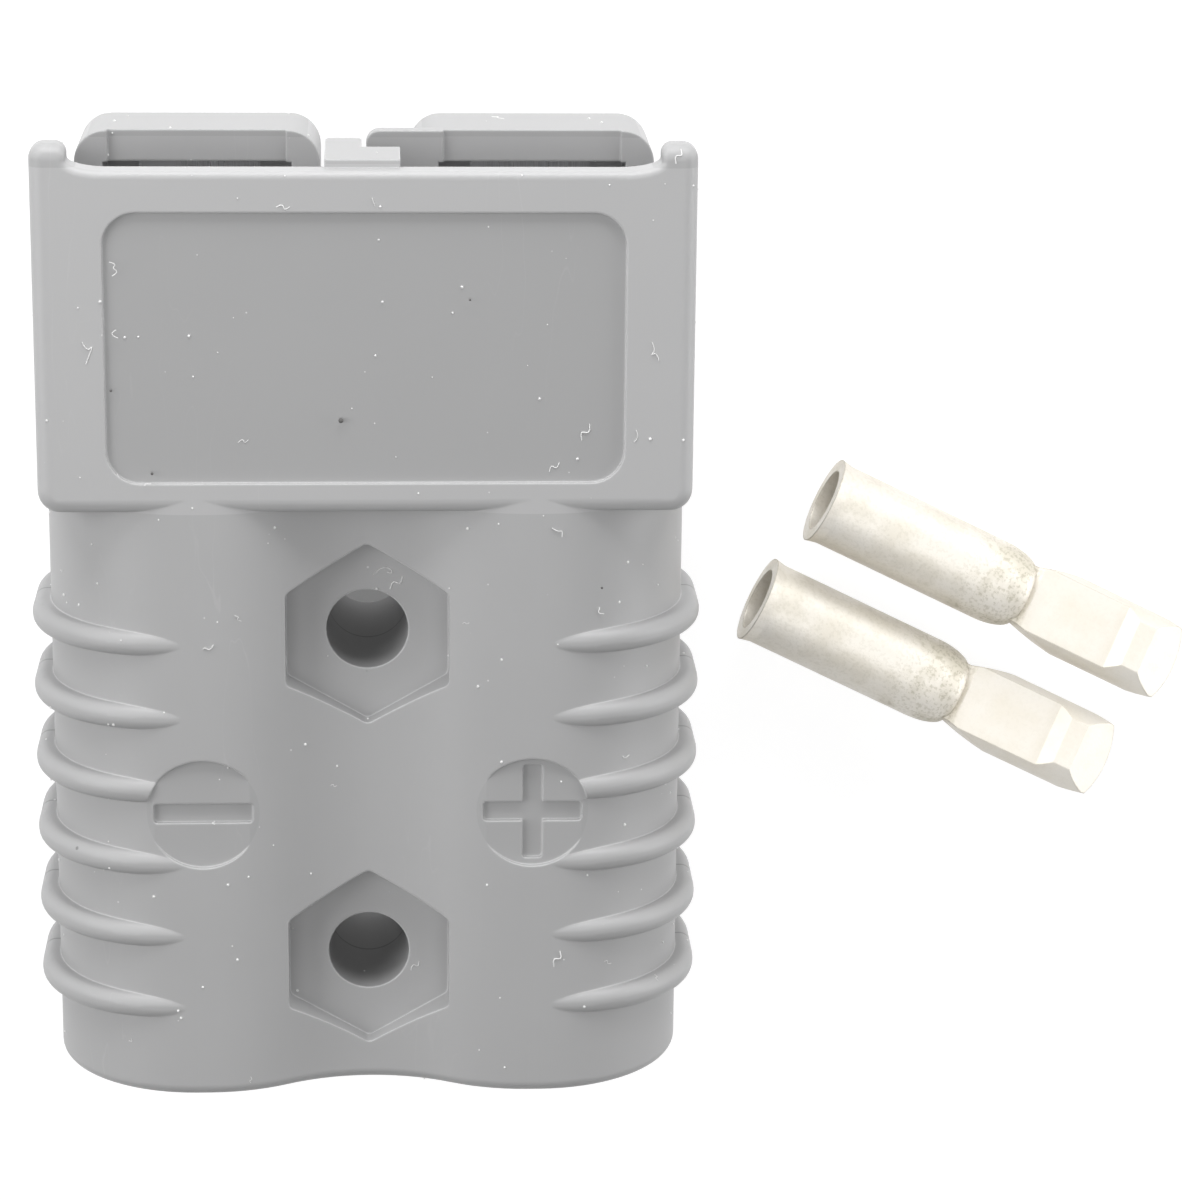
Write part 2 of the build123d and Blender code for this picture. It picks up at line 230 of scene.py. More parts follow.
def add_math(tree, operation, first, second=None, third=None, clamp=False):
    """Math node; each operand is a number or a socket."""
    node = tree.nodes.new("ShaderNodeMath")
    node.operation = operation
    node.use_clamp = clamp
    for socket, operand in zip(node.inputs, (first, second, third)):
        if operand is not None:
            feed(tree, socket, operand)
    return node.outputs[0]


def add_ramp(tree, value, low, high, reverse=False):
    """Smooth step of a value between two levels."""
    node = tree.nodes.new("ShaderNodeMapRange")
    node.interpolation_type = "SMOOTHSTEP"
    tree.links.new(value, node.inputs["Value"])
    feed(tree, node.inputs["From Min"], low)
    feed(tree, node.inputs["From Max"], high)
    node.inputs["To Min"].default_value = 1.0 if reverse else 0.0
    node.inputs["To Max"].default_value = 0.0 if reverse else 1.0
    return node.outputs["Result"]


def add_mix(tree, share, first, second):
    """Colour mix; the colours are tuples or sockets."""
    node = tree.nodes.new("ShaderNodeMix")
    node.data_type = "RGBA"
    feed(tree, node.inputs["Factor"], share)
    for label, colour in (("A", first), ("B", second)):
        socket = [s for s in node.inputs if s.name == label and s.type == "RGBA"][0]
        if isinstance(colour, (tuple, list)):
            socket.default_value = (*colour[:3], 1.0)
        else:
            tree.links.new(colour, socket)
    return [s for s in node.outputs if s.type == "RGBA"][0]


def add_noise(tree, vector, scale, detail, roughness):
    """Noise factor on a vector; the scale is a number or a socket."""
    node = tree.nodes.new("ShaderNodeTexNoise")
    tree.links.new(vector, node.inputs["Vector"])
    node.inputs["Detail"].default_value = detail
    node.inputs["Roughness"].default_value = roughness
    feed(tree, node.inputs["Scale"], scale)
    return node.outputs["Fac"]


def make_grain_group():
    """Satin grain: a fine height, and a broad slow tone."""
    group, enter, leave = new_group(
        "satin_grain",
        [("Vector", "NodeSocketVector", None), ("Grain Scale", "NodeSocketFloat", 6000.0),
         ("Tone Scale", "NodeSocketFloat", 70.0)],
        [("Height", "NodeSocketFloat"), ("Tone", "NodeSocketFloat")])
    fine = add_noise(group, enter.outputs["Vector"], enter.outputs["Grain Scale"], 3.0, 0.6)
    slow = add_noise(group, enter.outputs["Vector"], enter.outputs["Tone Scale"], 3.0, 0.55)
    group.links.new(fine, leave.inputs["Height"])
    group.links.new(slow, leave.inputs["Tone"])
    return group


def make_speck_group():
    """Scattered round specks of mixed size, few or many."""
    group, enter, leave = new_group(
        "scattered_specks",
        [("Vector", "NodeSocketVector", None), ("Scale", "NodeSocketFloat", 500.0),
         ("Size", "NodeSocketFloat", 0.09), ("Share", "NodeSocketFloat", 0.3)],
        [("Mask", "NodeSocketFloat")])
    cells = group.nodes.new("ShaderNodeTexVoronoi")
    group.links.new(enter.outputs["Vector"], cells.inputs["Vector"])
    group.links.new(enter.outputs["Scale"], cells.inputs["Scale"])
    tint = group.nodes.new("ShaderNodeSeparateColor")
    group.links.new(cells.outputs["Color"], tint.inputs[0])
    radius = add_math(group, "MULTIPLY", tint.outputs[1], enter.outputs["Size"])
    inner = add_math(group, "MULTIPLY", radius, 0.6)
    dot = add_ramp(group, cells.outputs["Distance"], inner, radius, reverse=True)
    chosen = add_math(group, "LESS_THAN", tint.outputs[0], enter.outputs["Share"])
    mask = add_math(group, "MULTIPLY", dot, chosen)
    group.links.new(mask, leave.inputs["Mask"])
    return group


def make_scratch_group():
    """Fine hairline marks, long along the stretched direction."""
    group, enter, leave = new_group(
        "hairlines",
        [("Vector", "NodeSocketVector", None), ("Scale", "NodeSocketFloat", 300.0),
         ("Width", "NodeSocketFloat", 0.012)],
        [("Mask", "NodeSocketFloat"), ("Height", "NodeSocketFloat")])
    strands = add_noise(group, enter.outputs["Vector"], enter.outputs["Scale"], 2.0, 0.4)
    off = add_math(group, "ABSOLUTE", add_math(group, "SUBTRACT", strands, 0.5))
    line = add_ramp(group, off, 0.0, enter.outputs["Width"], reverse=True)
    patches = add_noise(group, enter.outputs["Vector"], 90.0, 1.0, 0.5)
    worn = add_ramp(group, patches, 0.52, 0.66)
    group.links.new(add_math(group, "MULTIPLY", line, worn), leave.inputs["Mask"])
    group.links.new(strands, leave.inputs["Height"])
    return group


def make_edge_group():
    """Mask of the crisp edges, from how far a rounded normal leaves the surface's own."""
    group, enter, leave = new_group(
        "moulded_edges",
        [("Rounded Normal", "NodeSocketVector", None), ("Reach", "NodeSocketFloat", 0.25)],
        [("Mask", "NodeSocketFloat")])
    surface = group.nodes.new("ShaderNodeNewGeometry")
    product = group.nodes.new("ShaderNodeVectorMath")
    product.operation = "DOT_PRODUCT"
    group.links.new(enter.outputs["Rounded Normal"], product.inputs[0])
    group.links.new(surface.outputs["Normal"], product.inputs[1])
    lean = add_math(group, "SUBTRACT", 1.0, product.outputs["Value"])
    group.links.new(add_ramp(group, lean, 0.0, enter.outputs["Reach"]), leave.inputs["Mask"])
    return group


def make_box_group():
    """Mask of a box round the origin of its vector, for the label panel and the collar."""
    group, enter, leave = new_group(
        "flat_zone",
        [("Vector", "NodeSocketVector", None), ("Half Width", "NodeSocketFloat", 0.02),
         ("Half Height", "NodeSocketFloat", 0.01), ("Half Depth", "NodeSocketFloat", 0.0002)],
        [("Mask", "NodeSocketFloat")])
    parts = group.nodes.new("ShaderNodeSeparateXYZ")
    group.links.new(enter.outputs["Vector"], parts.inputs[0])
    mask = None
    for axis, label in zip("XYZ", ("Half Width", "Half Height", "Half Depth")):
        size = add_math(group, "ABSOLUTE", parts.outputs[axis])
        inside = add_math(group, "LESS_THAN", size, enter.outputs[label])
        mask = inside if mask is None else add_math(group, "MULTIPLY", mask, inside)
    group.links.new(mask, leave.inputs["Mask"])
    return group


def make_round_group():
    """Mask of two like round places, left and right of the middle, for the pole marks."""
    group, enter, leave = new_group(
        "round_pair",
        [("Vector", "NodeSocketVector", None), ("Across", "NodeSocketFloat", 0.01),
         ("Along", "NodeSocketFloat", 0.0), ("Radius", "NodeSocketFloat", 0.004)],
        [("Mask", "NodeSocketFloat")])
    parts = group.nodes.new("ShaderNodeSeparateXYZ")
    group.links.new(enter.outputs["Vector"], parts.inputs[0])
    out = add_math(group, "ABSOLUTE", parts.outputs["X"])
    side = add_math(group, "SUBTRACT", out, enter.outputs["Across"])
    up = add_math(group, "SUBTRACT", parts.outputs["Y"], enter.outputs["Along"])
    side_square = add_math(group, "MULTIPLY", side, side)
    up_square = add_math(group, "MULTIPLY", up, up)
    distance = add_math(group, "SQRT", add_math(group, "ADD", side_square, up_square))
    mask = add_math(group, "LESS_THAN", distance, enter.outputs["Radius"])
    group.links.new(mask, leave.inputs["Mask"])
    return group


GROUP_MAKERS = {
    "satin_grain": make_grain_group,
    "scattered_specks": make_speck_group,
    "hairlines": make_scratch_group,
    "moulded_edges": make_edge_group,
    "flat_zone": make_box_group,
    "round_pair": make_round_group,
}


def place_group(tree, name, vector=None, **values):
    """A shared group in a material, with its own values; spaces in names are underscores here."""
    group = bpy.data.node_groups.get(name) or GROUP_MAKERS[name]()
    node = tree.nodes.new("ShaderNodeGroup")
    node.node_tree = group
    if vector is not None:
        tree.links.new(vector, node.inputs["Vector"])
    for label, value in values.items():
        feed(tree, node.inputs[label.replace("_", " ")], value)
    return node


def start_material(name):
    """Material with only its Principled shader and output, and the object coordinates."""
    material = bpy.data.materials.new(name)
    material.use_nodes = True
    tree = material.node_tree
    shader = tree.nodes["Principled BSDF"]
    coordinates = tree.nodes.new("ShaderNodeTexCoord").outputs["Object"]
    return material, tree, shader, coordinates


def add_mapping(tree, vector, location=(0, 0, 0), rotation=(0, 0, 0), scale=(1, 1, 1), kind="POINT"):
    """Mapping node that centres, turns or stretches a pattern."""
    node = tree.nodes.new("ShaderNodeMapping")
    node.vector_type = kind
    tree.links.new(vector, node.inputs["Vector"])
    node.inputs["Location"].default_value = location
    node.inputs["Rotation"].default_value = rotation
    node.inputs["Scale"].default_value = scale
    return node.outputs["Vector"]


def add_bump(tree, shader, height, distance, strength, normal=None):
    """Bump in metres of height on the shader's normal, over an optional rounded normal."""
    node = tree.nodes.new("ShaderNodeBump")
    node.inputs["Distance"].default_value = distance
    node.inputs["Strength"].default_value = strength
    tree.links.new(height, node.inputs["Height"])
    if normal is not None:
        tree.links.new(normal, node.inputs["Normal"])
    tree.links.new(node.outputs["Normal"], shader.inputs["Normal"])


def add_rounded_normal(tree, radius):
    """Normal of the surface as if its crisp edges were rounded."""
    node = tree.nodes.new("ShaderNodeBevel")
    node.samples = 6
    node.inputs["Radius"].default_value = radius
    return node.outputs["Normal"]


def add_share(tree, mask, share):
    """A mask or height times a number."""
    return add_math(tree, "MULTIPLY", mask, share)


def add_zone(tree, vector, centre, half):
    """Mask of a box with this centre and half size."""
    centred = add_mapping(tree, vector, location=tuple(-c for c in centre))
    zone = place_group(
        tree, "flat_zone", centred, Half_Width=half[0], Half_Height=half[1], Half_Depth=half[2])
    return zone.outputs["Mask"]


def shaded(colour, factor):
    """A colour made darker or paler by one factor."""
    return tuple(c * factor for c in colour)


def plastic_material(finish):
    """Satin grey moulding: fine grain, smooth panel, parting line, dust, painted highlights on the edges,
    painted light on the collar and painted shade in the pole marks.
    """
    material, tree, shader, place = start_material("moulded_grey_plastic")
    grey = tuple(finish.grey)
    paler = tuple(min(1.0, c * 1.75 + 0.05) for c in grey)
    rounded = add_rounded_normal(tree, finish.edge_radius)
    grain = place_group(tree, "satin_grain", place, Grain_Scale=1.0 / finish.grain, Tone_Scale=85.0)
    edges = place_group(tree, "moulded_edges", Rounded_Normal=rounded, Reach=0.2)
    dust = place_group(tree, "scattered_specks", place, Scale=620.0, Size=0.075, Share=0.22)
    grime = place_group(
        tree, "scattered_specks", add_mapping(tree, place, location=(0.31, 0.17, 0.05)),
        Scale=210.0, Size=0.05, Share=0.1)
    marks = place_group(
        tree, "hairlines", add_mapping(tree, place, rotation=(0.0, 0.0, 0.5), scale=(1.0, 0.16, 1.0)),
        Scale=420.0, Width=0.006)
    panel = add_zone(tree, place, PANEL_CENTRE, PANEL_HALF)
    collar = add_zone(tree, place, COLLAR_CENTRE, COLLAR_HALF)
    pole_recess_shade = place_group(tree, "round_pair", place, Across=MARK_X, Along=MARK_Y, Radius=MARK_RADIUS)

    # The mould's halves meet at half the thickness and leave a hairline
    depth = tree.nodes.new("ShaderNodeSeparateXYZ")
    tree.links.new(place, depth.inputs[0])
    across = add_math(tree, "ABSOLUTE", depth.outputs["Z"])
    seam = add_ramp(tree, across, SEAM_CORE, SEAM_EDGE, reverse=True)

    tone = add_mix(tree, grain.outputs["Tone"], shaded(grey, 0.93), grey)
    for mask, colour in (
        # Painted light: the collar is paler than the body
        (collar, shaded(grey, finish.collar_painted_light)),
        # Painted shade in the round recesses of the pole marks
        (add_share(tree, pole_recess_shade.outputs["Mask"], 0.9), shaded(grey, 0.9)),
        (panel, shaded(grey, finish.panel_shade)),
        # Painted highlight: the crisp edges are paler
        (add_share(tree, edges.outputs["Mask"], 0.7), paler),
        (add_share(tree, marks.outputs["Mask"], 0.07), paler),
        (add_share(tree, dust.outputs["Mask"], 0.7), paler),
        (add_share(tree, grime.outputs["Mask"], 0.7), shaded(grey, 0.35)),
        (add_share(tree, seam, 0.65), shaded(grey, 0.35)),
    ):
        tone = add_mix(tree, mask, tone, colour)
    tree.links.new(tone, shader.inputs["Base Color"])

    satin = add_math(tree, "MULTIPLY_ADD", grain.outputs["Tone"], 0.16, 0.36)
    smooth = add_share(tree, panel, -0.05)
    chalky = add_share(tree, dust.outputs["Mask"], 0.3)
    rough = add_math(tree, "ADD", add_math(tree, "ADD", satin, smooth), chalky, clamp=True)
    tree.links.new(rough, shader.inputs["Roughness"])
    shader.inputs["IOR"].default_value = 1.52
    shader.inputs["Specular IOR Level"].default_value = 0.45

    relief = add_share(tree, grain.outputs["Height"], 0.35)
    relief = add_math(tree, "SUBTRACT", relief, add_share(tree, seam, 0.8))
    relief = add_math(tree, "SUBTRACT", relief, add_share(tree, marks.outputs["Mask"], 0.08))
    relief = add_math(tree, "ADD", relief, dust.outputs["Mask"])
    add_bump(tree, shader, relief, 0.02 * MM, 0.55, rounded)
    return material


def plating_material(finish, node_name):
    """Creamy silver plate over sanded copper, speckled with tarnish round the shoulder, with painted shade
    along its crisp edges.
    """
    material, tree, shader, place = start_material(node_name + "_silver_plate")
    low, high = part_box(node_name)
    middle = (low + high) / 2
    along = add_mapping(tree, place, tuple(middle), (0.0, 0.0, finish.turn), kind="TEXTURE")
    silver = tuple(finish.silver)
    warm = tuple(c * share for c, share in zip(silver, WARM_SHARES))

    rounded = add_rounded_normal(tree, 0.2 * MM)
    grain = place_group(tree, "satin_grain", along, Grain_Scale=5200.0, Tone_Scale=260.0)
    mottle = place_group(tree, "satin_grain", along, Grain_Scale=3000.0, Tone_Scale=650.0)
    edges = place_group(tree, "moulded_edges", Rounded_Normal=rounded, Reach=0.22)
    drawn = place_group(
        tree, "hairlines", add_mapping(tree, along, scale=(0.12, 1.0, 1.0)), Scale=2600.0, Width=0.05)
    pits = place_group(tree, "scattered_specks", along, Scale=3400.0, Size=0.42, Share=0.5)

    # Tarnish gathers at the barrel's shoulder, and thins out towards the mouth
    position = tree.nodes.new("ShaderNodeSeparateXYZ")
    tree.links.new(along, position.inputs[0])
    start, full, wane, end = TARNISH_RUN
    rise = add_ramp(tree, position.outputs["X"], start, full)
    fall = add_ramp(tree, position.outputs["X"], wane, end, reverse=True)
    shoulder = add_math(tree, "MULTIPLY", rise, fall)
    barrel = add_share(tree, fall, 0.35)
    zone = add_math(tree, "MAXIMUM", add_math(tree, "MAXIMUM", shoulder, barrel), 0.12)
    cloud = add_ramp(tree, grain.outputs["Tone"], 0.44, 0.62)
    blotch = add_ramp(tree, mottle.outputs["Height"], 0.48, 0.64)
    speckle = add_math(tree, "MULTIPLY", add_math(tree, "MAXIMUM", pits.outputs["Mask"], blotch), zone)
    haze = add_share(tree, add_math(tree, "MULTIPLY", cloud, zone), 0.45)
    tarnish = add_math(tree, "ADD", add_share(tree, speckle, 0.42), haze, clamp=True)

    base = add_mix(tree, grain.outputs["Tone"], silver, warm)
    aged = add_mix(tree, tarnish, base, tuple(finish.tarnish))
    # Painted shade: a dark line along the crisp edges
    brush_lines_and_edge_shade = add_mix(tree, add_share(tree, edges.outputs["Mask"], 0.7), aged, (0.34, 0.30, 0.23))
    tree.links.new(brush_lines_and_edge_shade, shader.inputs["Base Color"])
    shader.inputs["Metallic"].default_value = 0.5
    rough = add_math(tree, "MULTIPLY_ADD", tarnish, 0.25, 0.42)
    rough = add_math(tree, "MULTIPLY_ADD", grain.outputs["Tone"], 0.12, rough, clamp=True)
    tree.links.new(rough, shader.inputs["Roughness"])
    relief = add_share(tree, grain.outputs["Height"], 0.8)
    relief = add_math(tree, "ADD", relief, add_share(tree, drawn.outputs["Height"], 0.5))
    relief = add_math(tree, "SUBTRACT", relief, add_share(tree, speckle, 0.6))
    add_bump(tree, shader, relief, 0.03 * MM, 0.6, rounded)
    return material


def spring_material():
    """Bright strip steel, brushed along its length."""
    material, tree, shader, place = start_material("bright_spring_strip")
    brushed = place_group(
        tree, "hairlines", add_mapping(tree, place, scale=(1.0, 0.05, 1.0)), Scale=5200.0, Width=0.08)
    grain = place_group(tree, "satin_grain", place, Grain_Scale=4200.0, Tone_Scale=180.0)
    tone = add_mix(tree, grain.outputs["Tone"], (0.50, 0.50, 0.51), (0.62, 0.62, 0.63))
    brush_lines_and_edge_shade = add_mix(tree, add_share(tree, brushed.outputs["Mask"], 0.5), tone, (0.34, 0.34, 0.35))
    tree.links.new(brush_lines_and_edge_shade, shader.inputs["Base Color"])
    shader.inputs["Metallic"].default_value = 1.0
    rough = add_math(tree, "MULTIPLY_ADD", brushed.outputs["Height"], 0.2, 0.2, clamp=True)
    tree.links.new(rough, shader.inputs["Roughness"])
    add_bump(tree, shader, brushed.outputs["Height"], 0.01 * MM, 0.5)
    return material


def lint_material():
    """Pale cotton lint, a little uneven in tone."""
    material, tree, shader, place = start_material("pale_lint")
    grain = place_group(tree, "satin_grain", place, Grain_Scale=9000.0, Tone_Scale=300.0)
    tone = add_mix(tree, grain.outputs["Tone"], (0.78, 0.78, 0.78), (0.95, 0.95, 0.94))
    tree.links.new(tone, shader.inputs["Base Color"])
    rough = add_math(tree, "MULTIPLY_ADD", grain.outputs["Height"], 0.2, 0.7, clamp=True)
    tree.links.new(rough, shader.inputs["Roughness"])
    return material


def grit_material():
    """Dark grit, matt and a little uneven."""
    material, tree, shader, place = start_material("dark_grit")
    grain = place_group(tree, "satin_grain", place, Grain_Scale=9000.0, Tone_Scale=2500.0)
    tone = add_mix(tree, grain.outputs["Tone"], (0.04, 0.04, 0.04), (0.16, 0.155, 0.15))
    tree.links.new(tone, shader.inputs["Base Color"])
    rough = add_math(tree, "MULTIPLY_ADD", grain.outputs["Height"], 0.3, 0.55, clamp=True)
    tree.links.new(rough, shader.inputs["Roughness"])
    return material


def lint_tree():
    """Geometry Nodes tree that strews short fibres and round specks over a surface."""
    tree = bpy.data.node_groups.new("lint_scatter", "GeometryNodeTree")
    tree.interface.new_socket("Geometry", in_out="INPUT", socket_type="NodeSocketGeometry")
    for label, kind in (
        ("Fibre Density", "NodeSocketFloat"), ("Speck Density", "NodeSocketFloat"),
        ("Fibre Length", "NodeSocketFloat"), ("Fibre Width", "NodeSocketFloat"),
        ("Speck Size", "NodeSocketFloat"), ("Seed", "NodeSocketInt"), ("Material", "NodeSocketMaterial"),
    ):
        tree.interface.new_socket(label, in_out="INPUT", socket_type=kind)
    tree.interface.new_socket("Geometry", in_out="OUTPUT", socket_type="NodeSocketGeometry")
    enter = tree.nodes.new("NodeGroupInput")
    leave = tree.nodes.new("NodeGroupOutput")
    link = tree.links.new

    # Nothing lies on the underside, where the table is
    normal = tree.nodes.new("GeometryNodeInputNormal")
    parts = tree.nodes.new("ShaderNodeSeparateXYZ")
    link(normal.outputs["Normal"], parts.inputs[0])
    upper = tree.nodes.new("FunctionNodeCompare")
    upper.operation = "GREATER_THAN"
    link(parts.outputs["Z"], upper.inputs[0])
    upper.inputs[1].default_value = UNDERSIDE

    def strew(density, instance, smallest, largest, seed_step):
        """Instances at random places, turned about the surface's normal and scaled."""
        seed = tree.nodes.new("ShaderNodeMath")
        link(enter.outputs["Seed"], seed.inputs[0])
        seed.inputs[1].default_value = seed_step
        points = tree.nodes.new("GeometryNodeDistributePointsOnFaces")
        link(enter.outputs["Geometry"], points.inputs["Mesh"])
        link(upper.outputs[0], points.inputs["Selection"])
        link(enter.outputs[density], points.inputs["Density"])
        link(seed.outputs[0], points.inputs["Seed"])
        place = tree.nodes.new("GeometryNodeInstanceOnPoints")
        link(points.outputs["Points"], place.inputs["Points"])
        link(points.outputs["Rotation"], place.inputs["Rotation"])
        link(instance, place.inputs["Instance"])
        angle = tree.nodes.new("FunctionNodeRandomValue")
        angle.data_type = "FLOAT_VECTOR"
        angle.inputs["Min"].default_value = (0.0, 0.0, 0.0)
        angle.inputs["Max"].default_value = (0.0, 0.0, 2 * math.pi)
        link(seed.outputs[0], angle.inputs["Seed"])
        turn = tree.nodes.new("GeometryNodeRotateInstances")
        link(place.outputs[0], turn.inputs["Instances"])
        link(angle.outputs["Value"], turn.inputs["Rotation"])
        size = tree.nodes.new("FunctionNodeRandomValue")
        size.data_type = "FLOAT"
        for socket in size.inputs:
            if socket.type == "VALUE" and socket.name in ("Min", "Max"):
                socket.default_value = smallest if socket.name == "Min" else largest
        link(seed.outputs[0], size.inputs["Seed"])
        scale = tree.nodes.new("GeometryNodeScaleInstances")
        link(turn.outputs[0], scale.inputs["Instances"])
        link([s for s in size.outputs if s.type == "VALUE"][0], scale.inputs["Scale"])
        return scale.outputs[0]

    bend = tree.nodes.new("GeometryNodeCurvePrimitiveBezierSegment")
    bend.inputs["Resolution"].default_value = 7
    bend.inputs["Start"].default_value = (-0.5, 0.0, 0.0)
    bend.inputs["Start Handle"].default_value = (0.25, 0.75, 0.03)
    bend.inputs["End Handle"].default_value = (-0.35, -0.55, 0.05)
    bend.inputs["End"].default_value = (0.5, 0.15, 0.0)
    stretch = tree.nodes.new("GeometryNodeTransform")
    link(bend.outputs[0], stretch.inputs["Geometry"])
    link(enter.outputs["Fibre Length"], stretch.inputs["Scale"])
    ring = tree.nodes.new("GeometryNodeCurvePrimitiveCircle")
    ring.inputs["Resolution"].default_value = 4
    half = tree.nodes.new("ShaderNodeMath")
    half.operation = "MULTIPLY"
    link(enter.outputs["Fibre Width"], half.inputs[0])
    half.inputs[1].default_value = 0.5
    link(half.outputs[0], ring.inputs["Radius"])
    tube = tree.nodes.new("GeometryNodeCurveToMesh")
    link(stretch.outputs[0], tube.inputs["Curve"])
    link(ring.outputs[0], tube.inputs["Profile Curve"])
    tube.inputs["Fill Caps"].default_value = True
    ball = tree.nodes.new("GeometryNodeMeshIcoSphere")
    ball.inputs["Subdivisions"].default_value = 1
    link(enter.outputs["Speck Size"], ball.inputs["Radius"])

    both = tree.nodes.new("GeometryNodeJoinGeometry")
    link(strew("Fibre Density", tube.outputs[0], 0.5, 1.5, 0), both.inputs[0])
    link(strew("Speck Density", ball.outputs["Mesh"], 0.35, 1.3, 11), both.inputs[0])
    solid = tree.nodes.new("GeometryNodeRealizeInstances")
    link(both.outputs[0], solid.inputs[0])
    coat = tree.nodes.new("GeometryNodeSetMaterial")
    link(solid.outputs[0], coat.inputs["Geometry"])
    link(enter.outputs["Material"], coat.inputs["Material"])
    link(coat.outputs[0], leave.inputs["Geometry"])
    return tree


def merged_copy(node_name):
    """Copy of a CAD node's mesh with its loose triangles joined up."""
    form = bmesh.new()
    form.from_mesh(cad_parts[node_name].data)
    bmesh.ops.remove_doubles(form, verts=form.verts, dist=0.001 * MM)
    mesh = bpy.data.meshes.new(node_name + "_copy")
    form.to_mesh(mesh)
    form.free()
    return mesh


def plain_mesh(carrier):
    """What a carrier object looks like once evaluated, as a plain mesh; the carrier goes."""
    context = bpy.context
    context.view_layer.update()
    evaluated = carrier.evaluated_get(context.evaluated_depsgraph_get())
    mesh = bpy.data.meshes.new_from_object(evaluated)
    bpy.data.objects.remove(carrier)
    if not mesh.polygons:
        raise RuntimeError("a carrier made no faces")
    return mesh


def add_carrier(name, data):
    """Object in the scene that carries a mesh or curve until it is made plain."""
    carrier = bpy.data.objects.new(name, data)
    bpy.context.scene.collection.objects.link(carrier)
    return carrier


def add_piece(name, mesh):
    """A finished piece on the body, with its place in its mesh."""
    mesh.name = name
    piece = bpy.data.objects.new(name, mesh)
    bpy.context.scene.collection.objects.link(piece)
    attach(piece, "root")


def strewn_lint(finish, material):
    """Mesh of the fibres and specks that the tree strews over a copy of the housing."""
    tree = lint_tree()
    carrier = add_carrier("lint_carrier", merged_copy("housing"))
    values = {
        "Fibre Density": finish.fibres_per_area, "Speck Density": finish.specks_per_area,
        "Fibre Length": finish.fibre_length, "Fibre Width": finish.fibre_width,
        "Speck Size": finish.speck_size, "Seed": finish.seed, "Material": material,
    }
    scatter = carrier.modifiers.new("lint", "NODES")
    scatter.node_group = tree
    for item in tree.interface.items_tree:
        if item.in_out == "INPUT" and item.name in values:
            scatter[item.identifier] = values[item.name]
    return plain_mesh(carrier)


def strand_mesh(finish, material):
    """Mesh of the loose fibres that lie at their own places."""
    radius = finish.fibre_width * 0.5
    curve = bpy.data.curves.new("loose_strands", "CURVE")
    curve.dimensions = "3D"
    curve.bevel_depth = radius
    curve.bevel_resolution = 0
    curve.resolution_u = 5
    curve.use_fill_caps = True
    for height, points in STRANDS:
        spline = curve.splines.new("NURBS")
        spline.points.add(len(points) - 1)
        for point, (x, y) in zip(spline.points, points):
            point.co = (x * MM, y * MM, height + radius, 1.0)
        spline.order_u = 3
        spline.use_endpoint_u = True
    mesh = plain_mesh(add_carrier("strand_carrier", curve))
    mesh.materials.clear()
    mesh.materials.append(material)
    return mesh


def grit_mesh():
    """Mesh of the dark grains, sunk a little into the face."""
    form = bmesh.new()
    for radius, x, y in GRIT:
        place = Matrix.Translation((x * MM, y * MM, FACE_Z - 0.4 * radius * MM))
        bmesh.ops.create_icosphere(form, subdivisions=2, radius=radius * MM, matrix=place)
    mesh = bpy.data.meshes.new("dark_grit")
    form.to_mesh(mesh)
    form.free()
    mesh.materials.append(grit_material())
    return mesh


def give_material(node, material):
    """Replace a CAD node's material slots with one material."""
    node.data.materials.clear()
    node.data.materials.append(material)


class DressHousing(bpy.types.Operator):
    """Give the housing its moulded grey plastic"""

    bl_idname = "connector.dress_housing"
    bl_label = "Finish the housing"

    def execute(self, context):
        give_material(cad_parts["housing"], plastic_material(context.scene.housing_finish))
        return {"FINISHED"}


class DressContacts(bpy.types.Operator):
    """Give both loose contacts their silver plate"""

    bl_idname = "connector.dress_contacts"
    bl_label = "Plate the contacts"

    def execute(self, context):
        for name in CONTACTS:
            give_material(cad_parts[name], plating_material(context.scene.plating_finish, name))
        return {"FINISHED"}


class DressSprings(bpy.types.Operator):
    """Give the two leaf springs their bright strip steel"""

    bl_idname = "connector.dress_springs"
    bl_label = "Finish the springs"

    def execute(self, context):
        material = spring_material()
        for name in SPRINGS:
            give_material(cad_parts[name], material)
        return {"FINISHED"}


class StrewLint(bpy.types.Operator):
    """Strew lint and specks over the housing, and lay the loose strands that stand out"""

    bl_idname = "connector.strew_lint"
    bl_label = "Strew the lint"

    def execute(self, context):
        finish = context.scene.lint_finish
        pale = lint_material()
        add_piece("lint_and_specks", strewn_lint(finish, pale))
        add_piece("loose_strands", strand_mesh(finish, pale))
        add_piece("dark_grit", grit_mesh())
        return {"FINISHED"}


def add_light(name, power, size, location, target):
    """Rectangular softbox that faces a point."""
    data = bpy.data.lights.new(name, "AREA")
    data.energy = power
    data.shape = "RECTANGLE"
    data.size, data.size_y = size
    light = bpy.data.objects.new(name, data)
    light.location = location
    light.rotation_euler = (Vector(target) - Vector(location)).to_track_quat("-Z", "Y").to_euler()
    bpy.context.scene.collection.objects.link(light)


def seen_directly(tree):
    """1 for camera, glossy and transmission rays, 0 for the light that the room gives."""
    path = tree.nodes.new("ShaderNodeLightPath")
    seen = add_math(tree, "ADD", path.outputs["Is Camera Ray"], path.outputs["Is Glossy Ray"])
    return add_math(tree, "ADD", seen, path.outputs["Is Transmission Ray"], clamp=True)


def white_world(ambient):
    """Room that is white to look at and gives an even, weaker light."""
    world = bpy.data.worlds.new("white_room")
    world.use_nodes = True
    tree = world.node_tree
    background = tree.nodes["Background"]
    background.inputs["Color"].default_value = (1.0, 1.0, 1.0, 1.0)
    strength = add_math(tree, "MULTIPLY_ADD", seen_directly(tree), 1.0 - ambient, ambient)
    tree.links.new(strength, background.inputs["Strength"])
    bpy.context.scene.world = world


